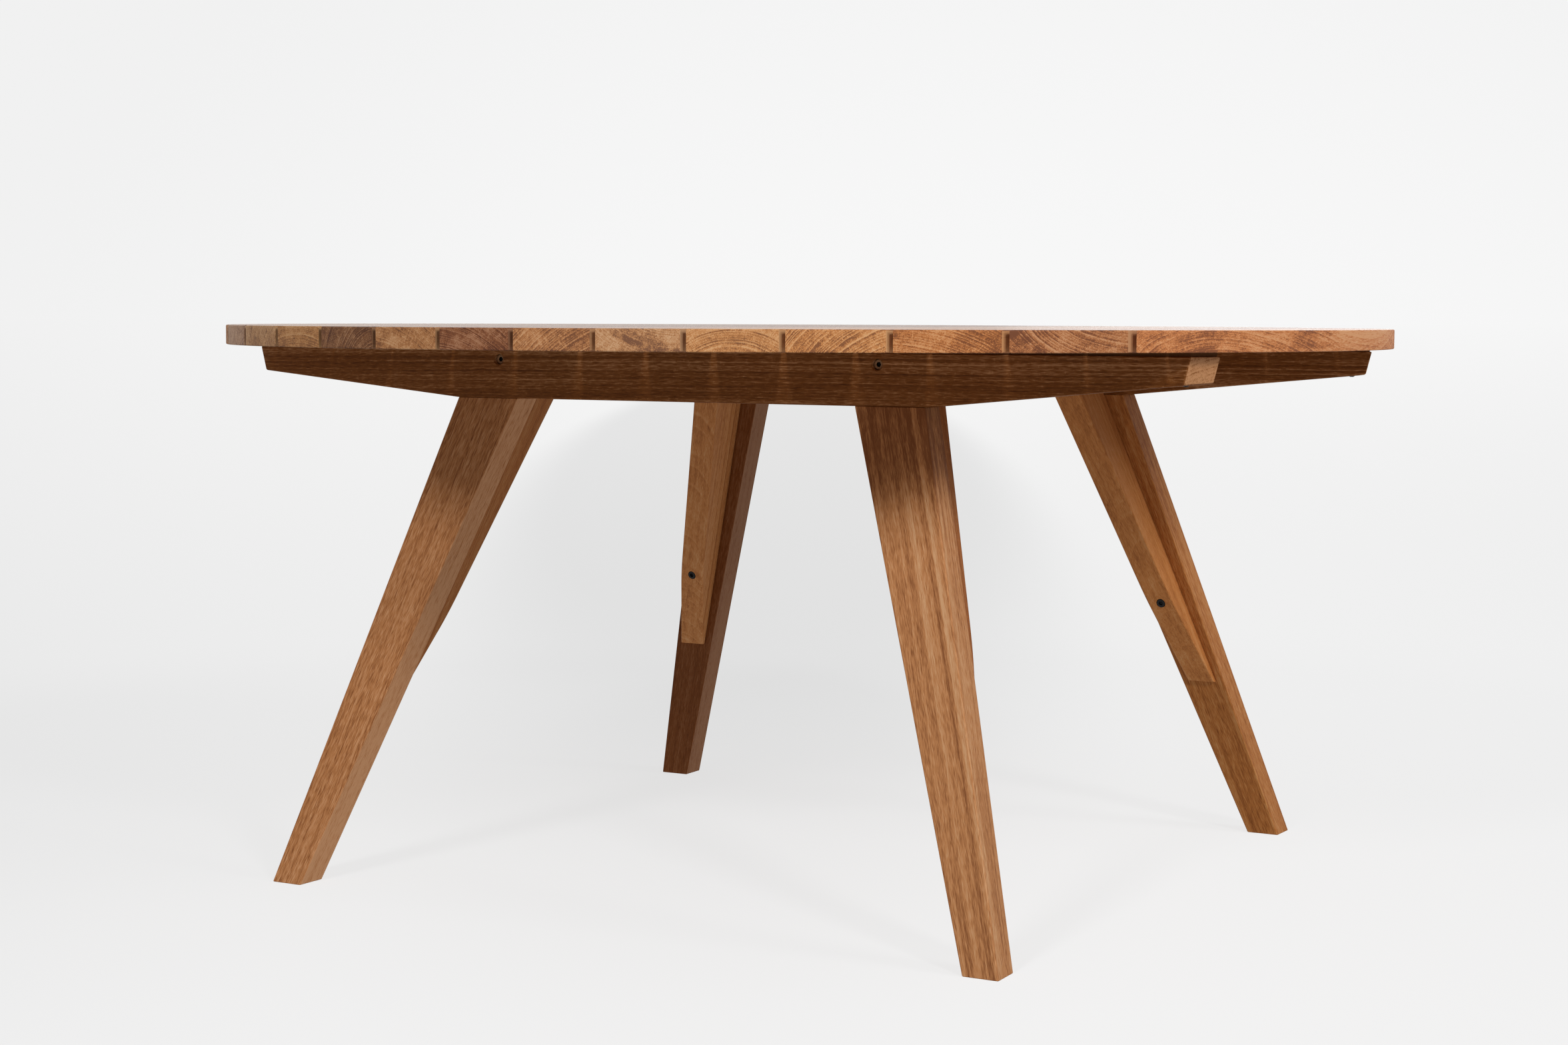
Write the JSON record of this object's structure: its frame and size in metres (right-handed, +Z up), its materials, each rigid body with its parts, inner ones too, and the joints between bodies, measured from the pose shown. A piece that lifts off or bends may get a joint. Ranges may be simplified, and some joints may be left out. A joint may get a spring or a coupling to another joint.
{
  "type": "dining table",
  "caption": "Round outdoor dining table: slatted hardwood top on two bearers, four splayed tapering T-shaped legs bolted on, cross rails between the fins",
  "frame": {"origin": "on the floor, under the centre of the round top", "axes": "+X along the bearers, +Y along the slats, +Z up"},
  "size_m": [1.6, 1.5996, 0.75],
  "materials": {
    "top_wood": "oiled, satin",
    "bearer_wood": "oiled, satin",
    "leg_wood": "oiled, satin",
    "spacer_black": "matte",
    "black_steel": "black oxide, satin",
    "bronze_steel": "antique bronze, satin",
    "insert_brass": "turned",
    "dowel_beech": "plain"
  },
  "bodies": {
    "root": {"slat_01": "top_wood", "slat_02": "top_wood", "slat_03": "top_wood", "slat_04": "top_wood", "slat_05": "top_wood", "slat_06": "top_wood", "slat_07": "top_wood", "slat_08": "top_wood", "slat_09": "top_wood", "slat_10": "top_wood", "slat_11": "top_wood", "slat_12": "top_wood", "slat_13": "top_wood", "slat_14": "top_wood", "slat_15": "top_wood", "bearer_front": "bearer_wood", "bearer_back": "bearer_wood", "spacer_strip_front": "spacer_black", "spacer_strip_back": "spacer_black", "leg_board_front_left": "leg_wood", "leg_board_front_right": "leg_wood", "leg_board_back_left": "leg_wood", "leg_board_back_right": "leg_wood", "leg_fin_front_left": "leg_wood", "leg_fin_front_right": "leg_wood", "leg_fin_back_left": "leg_wood", "leg_fin_back_right": "leg_wood", "cross_rail_left": "bearer_wood", "cross_rail_right": "bearer_wood", "leg_dowels": "dowel_beech", "leg_bolts": "black_steel", "leg_inserts": "insert_brass", "bearer_bolts": "bronze_steel", "bearer_inserts": "insert_brass", "slat_screws_front": "black_steel", "slat_screws_back": "black_steel"}
  },
  "joints": []
}
